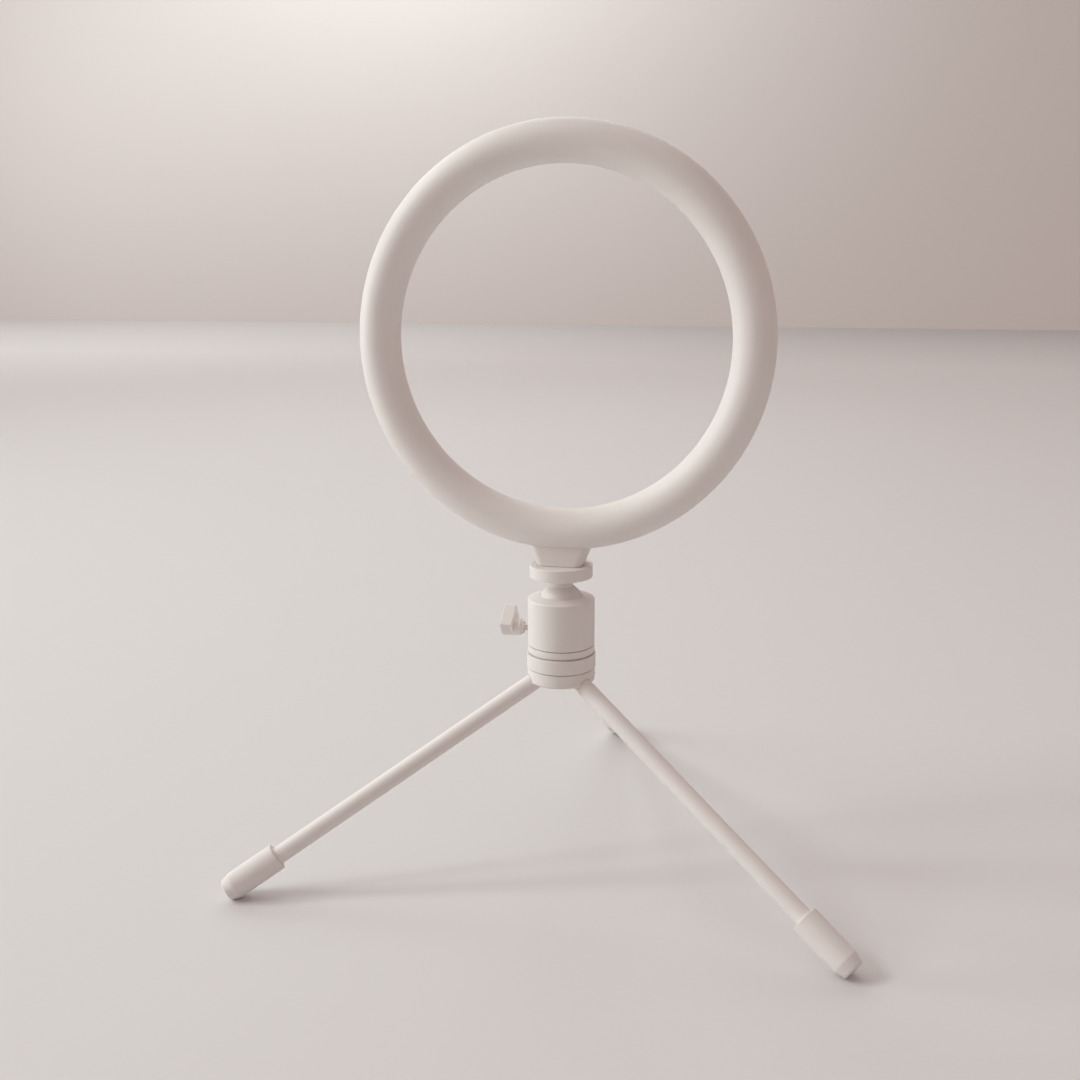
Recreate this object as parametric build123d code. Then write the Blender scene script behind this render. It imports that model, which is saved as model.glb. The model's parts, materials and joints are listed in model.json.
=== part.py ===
from build123d import *

import os
from math import atan2, cos, degrees, hypot, radians, sin, tan

# A desk ring light on a ball head and a small three-leg stand, in millimetres.
# +Z is up and the lamp faces -Y. Everything is drawn about the stand's own
# vertical axis, and only moved to the middle of its footprint when it is written.

# Lamp ring
RING_HEIGHT = 260.5
RING_RADIUS = 90.0
TUBE_RADIUS = 10.0
DIFFUSER_INNER_RADIUS = 8.4
HOUSING_INNER_RADIUS = 8.2
SEAM_OUTSIDE = 98.0
SEAM_INSIDE = 240.0
SEAM_HALF_GAP = 0.5
TONGUE_REACH = 8.0
TONGUE_RADII = (7.0, 8.3)

# Light board inside the ring
BOARD_HALF_WIDTH = 6.4
BOARD_THICKNESS = 1.6
CHIP_COUNT = 60
CHIP_SIZE = (3.5, 2.8, 0.7)
BOARD_SCREW_COUNT = 6
BOARD_SCREW_RADIUS = 0.8
BOSS_RADIUS = 2.2
BOSS_DEPTH = 9.0
DRIVER_ANGLES = (30, 90, 150, 210, 330)
DRIVER_SIZE = (5.0, 4.0, 1.2)
SOCKET_WIDTH = 8.94
SOCKET_HEIGHT = 3.2
SOCKET_MOUTH = 9.7

# Neck between the ring and the stand
NECK_BOTTOM = 152.95
NECK_TOP = 164.0
NECK_BOTTOM_SIZE = (22.0, 15.0)
NECK_TOP_SIZE = (31.6, 9.7)
NECK_CORNER = 4.0
INSERT_RADIUS = 4.0
INSERT_HEIGHT = 5.3
NECK_SCREW_SPOT = (7.5, 4.0)
NECK_SCREW_RADIUS = 1.0
NECK_SCREW_HEAD_RADIUS = 1.75

# Screw and plate on top of the ball
STUD_RADIUS = 3.175
STUD_BOTTOM = 149.3
STUD_TOP = 157.7
PLATE_RADIUS = 15.45
PLATE_BOTTOM = 146.75
PLATE_TOP = 152.9
PAD_RADIUS = 13.4
PAD_THICKNESS = 1.0

# Ball and its socket
BALL_RADIUS = 11.5
BALL_HEIGHT = 132.0
STEM_RADIUS = 5.7
BALL_CLEARANCE = 0.08
SOCKET_RADIUS = 16.5
SOCKET_BOTTOM = 112.47
SOCKET_SHOULDER = 135.8
SOCKET_MOUTH_HEIGHT = 137.2
SOCKET_BORE_FLOOR = 116.5
PLUG_RADIUS = 12.95
CUP_RADIUS = 11.35
CUP_SPAN = (121.2, 127.6)
WEDGE_SPAN = (116.6, 120.95)

# Clamp knob on the side of the socket
CLAMP_HEIGHT = 119.3
CLAMP_SCREW_RADIUS = 1.5
CLAMP_SCREW_SPAN = (-28.0, -6.5)
KNOB_COLLAR_STEPS = ((-18.9, 3.2), (-20.3, 4.2), (-23.8, 4.2))
WING_SPAN = (-30.0, -23.8)
WING_LENGTH_SPAN = (-4.0, 9.0)
WING_THICKNESS_SPAN = (-2.4, 6.1)
WING_ANGLE = 35.0

# Turning base
BASE_BOTTOM = 108.75
BASE_TOP = 112.12
WASHER_RADIUS = 15.3
WASHER_THICKNESS = 0.7
COLLAR_RADIUS = 17.05
COLLAR_BOTTOM = 100.9
COLLAR_TOP = 107.95
PAN_SCREW_RADIUS = 2.5
PAN_SCREW_TOP = 115.5
PAN_SCREW_HEAD_RADIUS = 4.2

# Leg hub
HUB_RADIUS = 16.7
HUB_BOTTOM = 93.6
HUB_TOP = 100.55
HUB_SCREW_CIRCLE = 11.0
HUB_SCREW_RADIUS = 1.5
HUB_SCREW_HEAD_RADIUS = 2.75

# Legs
LEG_NAMES = {"left": 210.0, "right": 330.0, "back": 90.0}
PIN_SIDES = {"left": -1.0, "right": 1.0, "back": 1.0}
PIN_CIRCLE = 10.4
PIN_HEIGHT = 95.9
PIN_RADIUS = 1.25
PIN_SHORT_END = 8.0
PIN_LONG_END = 12.4
ROD_RADIUS = 4.28
ROD_BORE = 3.3
ROD_START = 5.0
SLOT_CLEARANCE = 0.15
KNUCKLE_RADIUS = 4.2
FOOT_REACH = 167.2
CAP_RADIUS = 6.56
CAP_END_RADIUS = 5.1
CAP_TAPER_LENGTH = 4.75
CAP_ROUNDING = 0.9
CAP_LENGTH = 28.5
CAP_FACET = 0.2

SEAM_LAND = 15.0
EDGE = 0.35
BIG = 60.0

# The rounded corner of the cap's tapered end touches the floor, less a small moulded flat.
CAP_TAPER = atan2(CAP_RADIUS - CAP_END_RADIUS, CAP_TAPER_LENGTH)
CAP_CORNER_CENTRE = CAP_END_RADIUS - CAP_ROUNDING * tan(radians(45) - CAP_TAPER / 2)
LEG_DROP_GUESS = atan2(PIN_HEIGHT, FOOT_REACH - PIN_CIRCLE)
FOOT_HEIGHT = CAP_CORNER_CENTRE * cos(LEG_DROP_GUESS) + CAP_ROUNDING - CAP_FACET
LEG_DROP = atan2(PIN_HEIGHT - FOOT_HEIGHT, FOOT_REACH - PIN_CIRCLE)
LEG_LENGTH = hypot(PIN_HEIGHT - FOOT_HEIGHT, FOOT_REACH - PIN_CIRCLE)


def turned(*points):
    """A solid of revolution about Z from (radius, height) corners."""
    return revolve(Plane.XZ * make_face(Polyline(*points, close=True)), Axis.Z)


def rod_between(radius, low, high):
    """A vertical cylinder between two heights."""
    return Pos(0, 0, low) * Cylinder(radius, high - low, align=(Align.CENTER, Align.CENTER, Align.MIN))


def rod_along_x(radius, low, high, height):
    """A cylinder along X between two positions, at one height."""
    return Pos(0, 0, height) * Rot(0, 90, 0) * rod_between(radius, low, high)


def slab(width, depth, low, high):
    """A box centred in X and Y between two heights."""
    return Pos(0, 0, low) * Box(width, depth, high - low, align=(Align.CENTER, Align.CENTER, Align.MIN))


def around(shape, count, start=0.0):
    """Copies of a shape, evenly spaced about Z."""
    return [Rot(0, 0, start + 360.0 * step / count) * shape for step in range(count)]


# The ring is drawn lying flat with its front up, then stood up to face -Y.
STAND_UP = Pos(0, 0, RING_HEIGHT) * Rot(90, 0, 0)


def tube_point(radius, angle):
    """A point of the tube's section, the angle running from the front towards the outside."""
    return (RING_RADIUS + radius * sin(radians(angle)), radius * cos(radians(angle)))


def tube_shell(inner, outer, start, end):
    """A ring whose section is part of a round wall."""
    middle = (start + end) / 2
    edges = [
        ThreePointArc(tube_point(outer, start), tube_point(outer, middle), tube_point(outer, end)),
        Line(tube_point(outer, end), tube_point(inner, end)),
        ThreePointArc(tube_point(inner, end), tube_point(inner, middle), tube_point(inner, start)),
        Line(tube_point(inner, start), tube_point(outer, start)),
    ]
    return revolve(Plane.XZ * make_face(edges), Axis.Z)


def diffuser_ring():
    start = SEAM_INSIDE - 360.0 + SEAM_HALF_GAP
    return STAND_UP * tube_shell(DIFFUSER_INNER_RADIUS, TUBE_RADIUS, start, SEAM_OUTSIDE - SEAM_HALF_GAP)


def socket_slot(margin):
    """Outline of the power socket, grown by a margin, at the bottom of the ring."""
    return Pos(0, -RING_RADIUS) * SlotOverall(SOCKET_WIDTH + 2 * margin, SOCKET_HEIGHT + 2 * margin)


def neck_screw_spots():
    """The two screws that join the neck to the ring, seen from above."""
    side, back = NECK_SCREW_SPOT
    return [(-side, back), (side, back)]


def housing_bosses():
    """Six posts for the light board and two for the neck's screws."""
    post = Pos(RING_RADIUS, 0) * rod_between(BOSS_RADIUS, -BOSS_DEPTH, -BOARD_THICKNESS)
    bosses = [STAND_UP * copy for copy in around(post, BOARD_SCREW_COUNT)]
    low = RING_HEIGHT - RING_RADIUS - TUBE_RADIUS + 1.2
    for x, y in neck_screw_spots():
        bosses.append(Pos(x, y) * rod_between(BOSS_RADIUS - 0.1, low + 1.0, low + 6.0))
    return bosses


def rear_housing():
    start = SEAM_OUTSIDE + SEAM_HALF_GAP
    end = SEAM_INSIDE - SEAM_HALF_GAP
    shell = tube_shell(HOUSING_INNER_RADIUS, TUBE_RADIUS, start, end)
    inner, outer = TONGUE_RADII
    shell += tube_shell(inner, outer, start - TONGUE_REACH, start + 4.0)
    shell += tube_shell(inner, outer, end - 4.0, end + TONGUE_REACH)
    shell = STAND_UP * shell
    for boss in housing_bosses():
        shell += boss
    pilot = Pos(RING_RADIUS, 0) * rod_between(BOARD_SCREW_RADIUS + 0.02, -7.4, 0)
    for hole in around(pilot, BOARD_SCREW_COUNT):
        shell -= STAND_UP * hole
    for x, y in neck_screw_spots():
        shell -= Pos(x, y) * rod_between(NECK_SCREW_RADIUS + 0.02, NECK_BOTTOM, 166.0)
    mouth = extrude(Pos(0, 0, -TUBE_RADIUS - 1) * socket_slot(0.12), TUBE_RADIUS - 1)
    return shell - STAND_UP * mouth


def led_board():
    board = Cylinder(RING_RADIUS + BOARD_HALF_WIDTH, BOARD_THICKNESS)
    board -= Cylinder(RING_RADIUS - BOARD_HALF_WIDTH, BOARD_THICKNESS)
    board = Pos(0, 0, -BOARD_THICKNESS / 2) * board
    hole = Pos(RING_RADIUS, 0) * rod_between(BOARD_SCREW_RADIUS + 0.2, -BOARD_THICKNESS, 0)
    for copy in around(hole, BOARD_SCREW_COUNT):
        board -= copy
    return STAND_UP * board


def led_chips():
    depth, width, height = CHIP_SIZE
    chip = Pos(RING_RADIUS, 0) * slab(depth, width, 0, height)
    return Compound([STAND_UP * copy for copy in around(chip, CHIP_COUNT, 180.0 / CHIP_COUNT)])


def board_screws():
    screw = rod_between(1.5, 0, 0.9) + rod_between(BOARD_SCREW_RADIUS, -6.8, 0)
    screw = Pos(RING_RADIUS, 0) * screw
    return Compound([STAND_UP * copy for copy in around(screw, BOARD_SCREW_COUNT)])


def driver_chips():
    depth, width, height = DRIVER_SIZE
    low = -BOARD_THICKNESS - height
    chip = Pos(RING_RADIUS, 0) * slab(depth, width, low, low + height)
    return Compound([STAND_UP * Rot(0, 0, angle) * chip for angle in DRIVER_ANGLES])


def power_socket():
    wall = 0.3
    length = SOCKET_MOUTH - BOARD_THICKNESS
    body = extrude(Pos(0, 0, -SOCKET_MOUTH) * socket_slot(0), length)
    body -= extrude(Pos(0, 0, -SOCKET_MOUTH) * socket_slot(-wall), length - 1.6)
    tongue = Pos(0, -RING_RADIUS) * slab(6.7, 0.7, -SOCKET_MOUTH + 1.0, -BOARD_THICKNESS - 0.5)
    return STAND_UP * (body + tongue)


def neck_block():
    foot = Pos(0, 0, NECK_BOTTOM) * RectangleRounded(*NECK_BOTTOM_SIZE, NECK_CORNER)
    head = Pos(0, 0, NECK_TOP) * RectangleRounded(*NECK_TOP_SIZE, NECK_CORNER)
    block = loft([foot, head])
    block -= STAND_UP * Torus(RING_RADIUS, TUBE_RADIUS + 0.04)
    block -= rod_between(INSERT_RADIUS + 0.02, NECK_BOTTOM - 1, NECK_BOTTOM + INSERT_HEIGHT + 0.1)
    for x, y in neck_screw_spots():
        block -= Pos(x, y) * rod_between(NECK_SCREW_RADIUS + 0.1, NECK_BOTTOM - 1, NECK_TOP + 1)
        block -= Pos(x, y) * rod_between(NECK_SCREW_HEAD_RADIUS + 0.1, NECK_BOTTOM - 1, NECK_BOTTOM + 3.0)
    return block


def neck_screws():
    head = rod_between(NECK_SCREW_HEAD_RADIUS, NECK_BOTTOM + 1.2, NECK_BOTTOM + 2.95)
    head -= extrude(Pos(0, 0, NECK_BOTTOM + 1.2) * RegularPolygon(0.85, 6), 1.0)
    screw = head + rod_between(NECK_SCREW_RADIUS, NECK_BOTTOM + 2.9, 165.0)
    return Compound([Pos(x, y) * screw for x, y in neck_screw_spots()])


def threaded_insert():
    low = NECK_BOTTOM + 0.1
    insert = rod_between(INSERT_RADIUS, low, NECK_BOTTOM + INSERT_HEIGHT)
    insert -= rod_between(STUD_RADIUS + 0.05, low - 1, NECK_TOP)
    return insert


def mounting_stud():
    tip = 0.7
    return turned(
        (0, STUD_BOTTOM),
        (STUD_RADIUS, STUD_BOTTOM),
        (STUD_RADIUS, STUD_TOP - tip),
        (STUD_RADIUS - tip, STUD_TOP),
        (0, STUD_TOP),
    )


def top_plate():
    bevel = 0.4
    shelf = PLATE_TOP - PAD_THICKNESS
    return turned(
        (4.05, PLATE_BOTTOM),
        (PLATE_RADIUS - bevel, PLATE_BOTTOM),
        (PLATE_RADIUS, PLATE_BOTTOM + bevel),
        (PLATE_RADIUS, PLATE_TOP - bevel),
        (PLATE_RADIUS - bevel, PLATE_TOP),
        (PAD_RADIUS + 0.05, PLATE_TOP),
        (PAD_RADIUS + 0.05, shelf),
        (STUD_RADIUS + 0.02, shelf),
        (STUD_RADIUS + 0.02, 149.25),
        (4.05, 149.25),
    )


def plate_pad():
    pad = rod_between(PAD_RADIUS, PLATE_TOP - PAD_THICKNESS, PLATE_TOP)
    return pad - rod_between(STUD_RADIUS + 0.05, PLATE_TOP - 2, PLATE_TOP + 1)


def ball():
    waist = STEM_RADIUS + 0.3
    top = BALL_HEIGHT + (BALL_RADIUS**2 - waist**2) ** 0.5
    edges = [
        ThreePointArc((0, BALL_HEIGHT - BALL_RADIUS), (BALL_RADIUS, BALL_HEIGHT), (waist, top)),
        Polyline(
            (waist, top),
            (STEM_RADIUS, top + 0.4),
            (STEM_RADIUS, PLATE_BOTTOM),
            (4.0, PLATE_BOTTOM),
            (4.0, 149.2),
            (0, 149.2),
            (0, BALL_HEIGHT - BALL_RADIUS),
        ),
    ]
    return revolve(Plane.XZ * make_face(edges), Axis.Z)


def ball_socket():
    rounding = 0.8
    body = turned(
        (0, SOCKET_BOTTOM),
        (SEAM_LAND, SOCKET_BOTTOM),
        (SOCKET_RADIUS - EDGE, SOCKET_BOTTOM),
        (SOCKET_RADIUS, SOCKET_BOTTOM + EDGE),
        (SOCKET_RADIUS, SOCKET_SHOULDER),
        (10.6, SOCKET_MOUTH_HEIGHT),
        (0, SOCKET_MOUTH_HEIGHT),
    )
    rims = body.edges().filter_by(GeomType.CIRCLE)
    shoulder = [rim for rim in rims if abs(rim.center().Z - SOCKET_SHOULDER) < 0.01]
    body = fillet(shoulder, rounding)
    seat = BALL_RADIUS + BALL_CLEARANCE
    body -= Pos(0, 0, BALL_HEIGHT) * Sphere(seat)
    body -= rod_between(seat, SOCKET_BORE_FLOOR - 1, BALL_HEIGHT)
    body -= rod_between(PLUG_RADIUS + 0.05, SOCKET_BOTTOM - 1, SOCKET_BORE_FLOOR)
    return body - rod_along_x(CLAMP_SCREW_RADIUS + 0.05, -20, 0, CLAMP_HEIGHT)


def pressure_cup():
    low, high = CUP_SPAN
    cup = rod_between(CUP_RADIUS, low, high)
    return cup - Pos(0, 0, BALL_HEIGHT) * Sphere(BALL_RADIUS + 0.1)


def clamp_wedge():
    low, high = WEDGE_SPAN
    wedge = rod_between(CUP_RADIUS, low, high)
    wedge -= Pos(0, 0, BALL_HEIGHT) * Sphere(BALL_RADIUS + 0.4)
    wedge -= rod_along_x(CLAMP_SCREW_RADIUS + 0.2, -20, -5.8, CLAMP_HEIGHT)
    return wedge - rod_between(2.0, low - 1, high + 1)


def socket_base():
    return turned(
        (PAN_SCREW_RADIUS + 0.02, BASE_BOTTOM),
        (SOCKET_RADIUS - EDGE, BASE_BOTTOM),
        (SOCKET_RADIUS, BASE_BOTTOM + EDGE),
        (SOCKET_RADIUS, BASE_TOP - EDGE),
        (SOCKET_RADIUS - EDGE, BASE_TOP),
        (SEAM_LAND, BASE_TOP),
        (SEAM_LAND, SOCKET_BOTTOM),
        (PLUG_RADIUS, SOCKET_BOTTOM),
        (PLUG_RADIUS, SOCKET_BORE_FLOOR - 0.1),
        (PAN_SCREW_RADIUS + 0.02, SOCKET_BORE_FLOOR - 0.1),
    )


def clamp_screw():
    low, high = CLAMP_SCREW_SPAN
    screw = rod_along_x(CLAMP_SCREW_RADIUS, low, high, CLAMP_HEIGHT)
    tip = [edge for edge in screw.edges().filter_by(GeomType.CIRCLE) if edge.center().X > high - 0.01]
    return chamfer(tip, 0.9)


def knob_collar():
    (near, small), (step, large), (far, _) = KNOB_COLLAR_STEPS
    collar = rod_along_x(small, step, near, CLAMP_HEIGHT)
    collar += rod_along_x(large, far, step, CLAMP_HEIGHT)
    rims = collar.edges().filter_by(GeomType.CIRCLE)
    collar = chamfer([rim for rim in rims if abs(rim.center().X - far) > 0.01 and rim.radius > small - 0.1], 0.3)
    return collar - rod_along_x(CLAMP_SCREW_RADIUS + 0.02, far - 1, near + 1, CLAMP_HEIGHT)


def wing_knob():
    (left, right), (near, far), (low, high) = WING_SPAN, WING_LENGTH_SPAN, WING_THICKNESS_SPAN
    wing = Box(right - left, far - near, high - low, align=(Align.MIN, Align.MIN, Align.MIN))
    wing = fillet(wing.edges(), 0.5)
    wing = Pos(0, 0, CLAMP_HEIGHT) * Rot(WING_ANGLE, 0, 0) * Pos(left, near, low) * wing
    return wing - rod_along_x(CLAMP_SCREW_RADIUS + 0.02, CLAMP_SCREW_SPAN[0] - 0.1, right + 1, CLAMP_HEIGHT)


def pan_washer():
    washer = rod_between(WASHER_RADIUS, COLLAR_TOP, COLLAR_TOP + WASHER_THICKNESS)
    return washer - rod_between(PAN_SCREW_RADIUS + 0.2, COLLAR_TOP - 1, BASE_BOTTOM)


def pan_screw():
    head_bottom = HUB_BOTTOM + 0.3
    head_top = HUB_BOTTOM + 3.2
    screw = rod_between(PAN_SCREW_HEAD_RADIUS, head_bottom, head_top)
    screw -= extrude(Pos(0, 0, head_bottom) * RegularPolygon(2.3, 6), 2.2)
    return screw + rod_between(PAN_SCREW_RADIUS, head_top - 0.2, PAN_SCREW_TOP)


def hub_screw_spots():
    """Places midway between the legs for the screws that hold the collar."""
    return [Rot(0, 0, angle + 180.0) * Pos(HUB_SCREW_CIRCLE, 0) for angle in LEG_NAMES.values()]


def base_collar():
    collar = turned(
        (0, COLLAR_BOTTOM),
        (COLLAR_RADIUS - EDGE, COLLAR_BOTTOM),
        (COLLAR_RADIUS, COLLAR_BOTTOM + EDGE),
        (COLLAR_RADIUS, COLLAR_TOP - EDGE),
        (COLLAR_RADIUS - EDGE, COLLAR_TOP),
        (0, COLLAR_TOP),
    )
    collar -= rod_between(PAN_SCREW_RADIUS + 0.15, COLLAR_BOTTOM - 1, COLLAR_TOP + 1)
    for spot in hub_screw_spots():
        collar -= spot * rod_between(HUB_SCREW_RADIUS + 0.02, COLLAR_BOTTOM - 1, 106.0)
    return collar


def leg_slot():
    """The room that one leg needs, from spread to folded straight down."""
    reach = KNUCKLE_RADIUS + 0.25
    width = ROD_RADIUS + SLOT_CLEARANCE
    tip = (PIN_CIRCLE + BIG * cos(LEG_DROP), PIN_HEIGHT - BIG * sin(LEG_DROP))
    inner = PIN_CIRCLE - width
    outline = Polyline((PIN_CIRCLE, PIN_HEIGHT), tip, (tip[0], 0), (inner, 0), (inner, PIN_HEIGHT), close=True)
    room = extrude(Plane.XZ * make_face(outline), width, both=True)
    room += leg_place(0.0) * rod_between(width, 0, BIG)
    return room + Pos(PIN_CIRCLE, 0, PIN_HEIGHT) * Sphere(reach)


def tripod_hub():
    rounding = 1.2
    hub = turned(
        (0, HUB_BOTTOM),
        (HUB_RADIUS, HUB_BOTTOM),
        (HUB_RADIUS, HUB_TOP - EDGE),
        (HUB_RADIUS - EDGE, HUB_TOP),
        (SEAM_LAND, HUB_TOP),
        (SEAM_LAND, COLLAR_BOTTOM),
        (0, COLLAR_BOTTOM),
    )
    rims = hub.edges().filter_by(GeomType.CIRCLE)
    hub = fillet([rim for rim in rims if rim.center().Z < HUB_BOTTOM + 0.01], rounding)
    slot = leg_slot()
    for name, angle in LEG_NAMES.items():
        hub -= Rot(0, 0, angle) * slot
        hub -= Rot(0, 0, angle) * pin_solid(PIN_SIDES[name], 0.02)
    hub -= rod_between(PAN_SCREW_RADIUS + 0.15, HUB_BOTTOM - 1, COLLAR_BOTTOM + 1)
    hub -= rod_between(PAN_SCREW_HEAD_RADIUS + 0.15, HUB_BOTTOM - 1, HUB_BOTTOM + 3.3)
    for spot in hub_screw_spots():
        hub -= spot * rod_between(HUB_SCREW_RADIUS + 0.1, HUB_BOTTOM - 1, COLLAR_BOTTOM + 1)
        hub -= spot * rod_between(HUB_SCREW_HEAD_RADIUS + 0.1, HUB_BOTTOM - 1, HUB_BOTTOM + 3.0)
    return hub


def hub_screws():
    head_bottom = HUB_BOTTOM + 0.5
    head_top = HUB_BOTTOM + 2.9
    screw = rod_between(HUB_SCREW_HEAD_RADIUS, head_bottom, head_top)
    screw -= extrude(Pos(0, 0, head_bottom) * RegularPolygon(1.4, 6), 1.5)
    screw += rod_between(HUB_SCREW_RADIUS, head_top - 0.2, 105.5)
    return Compound([spot * screw for spot in hub_screw_spots()])


def pin_solid(side, growth):
    """A hinge pin of a leg that points along +X; it goes in from one side."""
    ends = sorted((-side * PIN_SHORT_END, side * PIN_LONG_END))
    pin = rod_between(PIN_RADIUS + growth, *ends)
    return Pos(PIN_CIRCLE, 0, PIN_HEIGHT) * Rot(-90, 0, 0) * pin


def leg_place(angle):
    """Where a leg goes when it is drawn along +Z from its hinge pin."""
    direction = (cos(LEG_DROP), 0, -sin(LEG_DROP))
    spread = Plane(origin=(PIN_CIRCLE, 0, PIN_HEIGHT), x_dir=(0, 1, 0), z_dir=direction)
    return Rot(0, 0, angle) * spread.location


def leg_knuckle():
    knuckle = Sphere(KNUCKLE_RADIUS) + rod_between(KNUCKLE_RADIUS, 0, ROD_START)
    knuckle += rod_between(ROD_BORE - 0.02, ROD_START - 1, ROD_START + 13)
    hole = Rot(0, 90, 0) * rod_between(PIN_RADIUS + 0.05, -BIG, BIG)
    return knuckle - hole


def leg_rod():
    end = LEG_LENGTH - 2.5
    return rod_between(ROD_RADIUS, ROD_START, end) - rod_between(ROD_BORE, ROD_START - 1, end + 1)


def foot_cap():
    end = LEG_LENGTH + CAP_ROUNDING
    rim = end - CAP_LENGTH
    bore = ROD_RADIUS + 0.02
    cap = turned(
        (0, LEG_LENGTH - 2.4),
        (bore, LEG_LENGTH - 2.4),
        (bore, rim),
        (CAP_RADIUS - 0.4, rim),
        (CAP_RADIUS, rim + 0.4),
        (CAP_RADIUS, end - CAP_TAPER_LENGTH),
        (CAP_END_RADIUS, end),
        (0, end),
    )
    corners = cap.edges().filter_by(GeomType.CIRCLE).filter_by(lambda edge: edge.arc_center.Z > end - 0.01)
    return fillet(corners, CAP_ROUNDING)


def leg_pieces():
    """The pin, knuckle, rod and rubber foot of every leg, by node name."""
    pieces = {}
    floor = Pos(0, 0, -BIG) * slab(10 * BIG, 10 * BIG, 0, BIG)
    for name, angle in LEG_NAMES.items():
        place = leg_place(angle)
        pieces[f"hinge_pin_{name}"] = Rot(0, 0, angle) * pin_solid(PIN_SIDES[name], 0)
        pieces[f"leg_knuckle_{name}"] = place * leg_knuckle()
        pieces[f"leg_rod_{name}"] = place * leg_rod()
        pieces[f"foot_cap_{name}"] = place * foot_cap() - floor
    return pieces


def all_pieces():
    """Every node of the lamp, about the stand's axis."""
    pieces = {
        "diffuser_ring": diffuser_ring(),
        "rear_housing": rear_housing(),
        "led_board": led_board(),
        "led_chips": led_chips(),
        "board_screws": board_screws(),
        "driver_chips": driver_chips(),
        "power_socket": power_socket(),
        "neck_block": neck_block(),
        "neck_screws": neck_screws(),
        "threaded_insert": threaded_insert(),
        "mounting_stud": mounting_stud(),
        "top_plate": top_plate(),
        "plate_pad": plate_pad(),
        "ball": ball(),
        "ball_socket": ball_socket(),
        "pressure_cup": pressure_cup(),
        "clamp_wedge": clamp_wedge(),
        "socket_base": socket_base(),
        "clamp_screw": clamp_screw(),
        "knob_collar": knob_collar(),
        "wing_knob": wing_knob(),
        "pan_washer": pan_washer(),
        "pan_screw": pan_screw(),
        "base_collar": base_collar(),
        "tripod_hub": tripod_hub(),
        "hub_screws": hub_screws(),
    }
    pieces.update(leg_pieces())
    return pieces


def footprint_middle(pieces):
    """Middle of the footprint in Y, halfway between the front feet and the back foot."""
    front = pieces["foot_cap_left"].bounding_box().min.Y
    back = pieces["foot_cap_back"].bounding_box().max.Y
    return (front + back) / 2


def main():
    os.makedirs("parts", exist_ok=True)
    pieces = all_pieces()
    middle = footprint_middle(pieces)
    for name, shape in pieces.items():
        export_step(Pos(0, -middle, 0) * shape, f"parts/{name}.step")
    print("stand axis at y =", round(-middle, 4))
    print("legs slope down by", round(degrees(LEG_DROP), 3), "degrees")
    print("leg length from pin to foot", round(LEG_LENGTH, 3), "foot height", round(FOOT_HEIGHT, 3))


main()
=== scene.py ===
"""A small round-tube ring light on a ball head and a folding three-leg desk stand.

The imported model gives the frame: where every piece sits and what it moves with. Here each
visible piece gets its finished surface and its material, then a stage, lights and a camera.
"""

import json
import math

import bmesh
import bpy
import numpy as np
from mathutils import Matrix, Vector


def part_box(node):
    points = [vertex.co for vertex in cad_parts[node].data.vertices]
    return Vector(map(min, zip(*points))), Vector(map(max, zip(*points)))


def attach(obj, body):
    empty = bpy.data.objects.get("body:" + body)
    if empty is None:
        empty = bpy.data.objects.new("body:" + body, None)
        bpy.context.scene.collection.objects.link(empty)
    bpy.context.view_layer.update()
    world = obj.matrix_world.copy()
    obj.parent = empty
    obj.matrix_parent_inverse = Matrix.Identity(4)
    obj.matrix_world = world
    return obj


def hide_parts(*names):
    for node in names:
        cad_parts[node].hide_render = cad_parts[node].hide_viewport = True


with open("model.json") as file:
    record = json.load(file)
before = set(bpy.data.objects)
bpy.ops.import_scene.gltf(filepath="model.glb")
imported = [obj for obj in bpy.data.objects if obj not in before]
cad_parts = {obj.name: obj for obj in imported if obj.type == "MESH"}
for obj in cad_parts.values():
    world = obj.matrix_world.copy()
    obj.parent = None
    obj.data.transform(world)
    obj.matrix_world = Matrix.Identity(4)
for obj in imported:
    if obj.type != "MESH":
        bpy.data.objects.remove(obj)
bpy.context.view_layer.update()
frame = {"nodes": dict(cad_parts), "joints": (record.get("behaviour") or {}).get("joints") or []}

bl_info = {
    "name": "Desk ring light",
    "version": (1, 0, 0),
    "blender": (4, 5, 0),
    "location": "View3D > Sidebar > Ring Light",
    "description": "Builds the finished surfaces and materials of a desk ring light",
    "category": "Object",
}

MM = 0.001
SIDES = ("left", "right", "back")


# ---------------------------------------------------------------- places from the frame


def span(node, axis):
    """Lowest and highest coordinate of a frame node along one axis."""
    low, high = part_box(node)
    return low[axis], high[axis]


def middle(node):
    """Middle of a frame node's box, as an array."""
    low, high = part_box(node)
    return (np.array(low) + np.array(high)) / 2


STAND_AXIS = np.array([middle("ball_socket")[0], middle("ball_socket")[1], 0.0])
RING_LOW, RING_HIGH = span("diffuser_ring", 2)
RING_RADIUS = (RING_HIGH - RING_LOW) / 2
TUBE_RADIUS = STAND_AXIS[1] - span("diffuser_ring", 1)[0]
RING_CENTRE = STAND_AXIS + np.array([0.0, 0.0, (RING_LOW + RING_HIGH) / 2])
RING_FACING = np.array([0.0, -1.0, 0.0])
UP = np.array([0.0, 0.0, 1.0])
HINGES = {joint["name"]: joint for joint in frame["joints"]}


# ---------------------------------------------------------------- user settings


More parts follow.
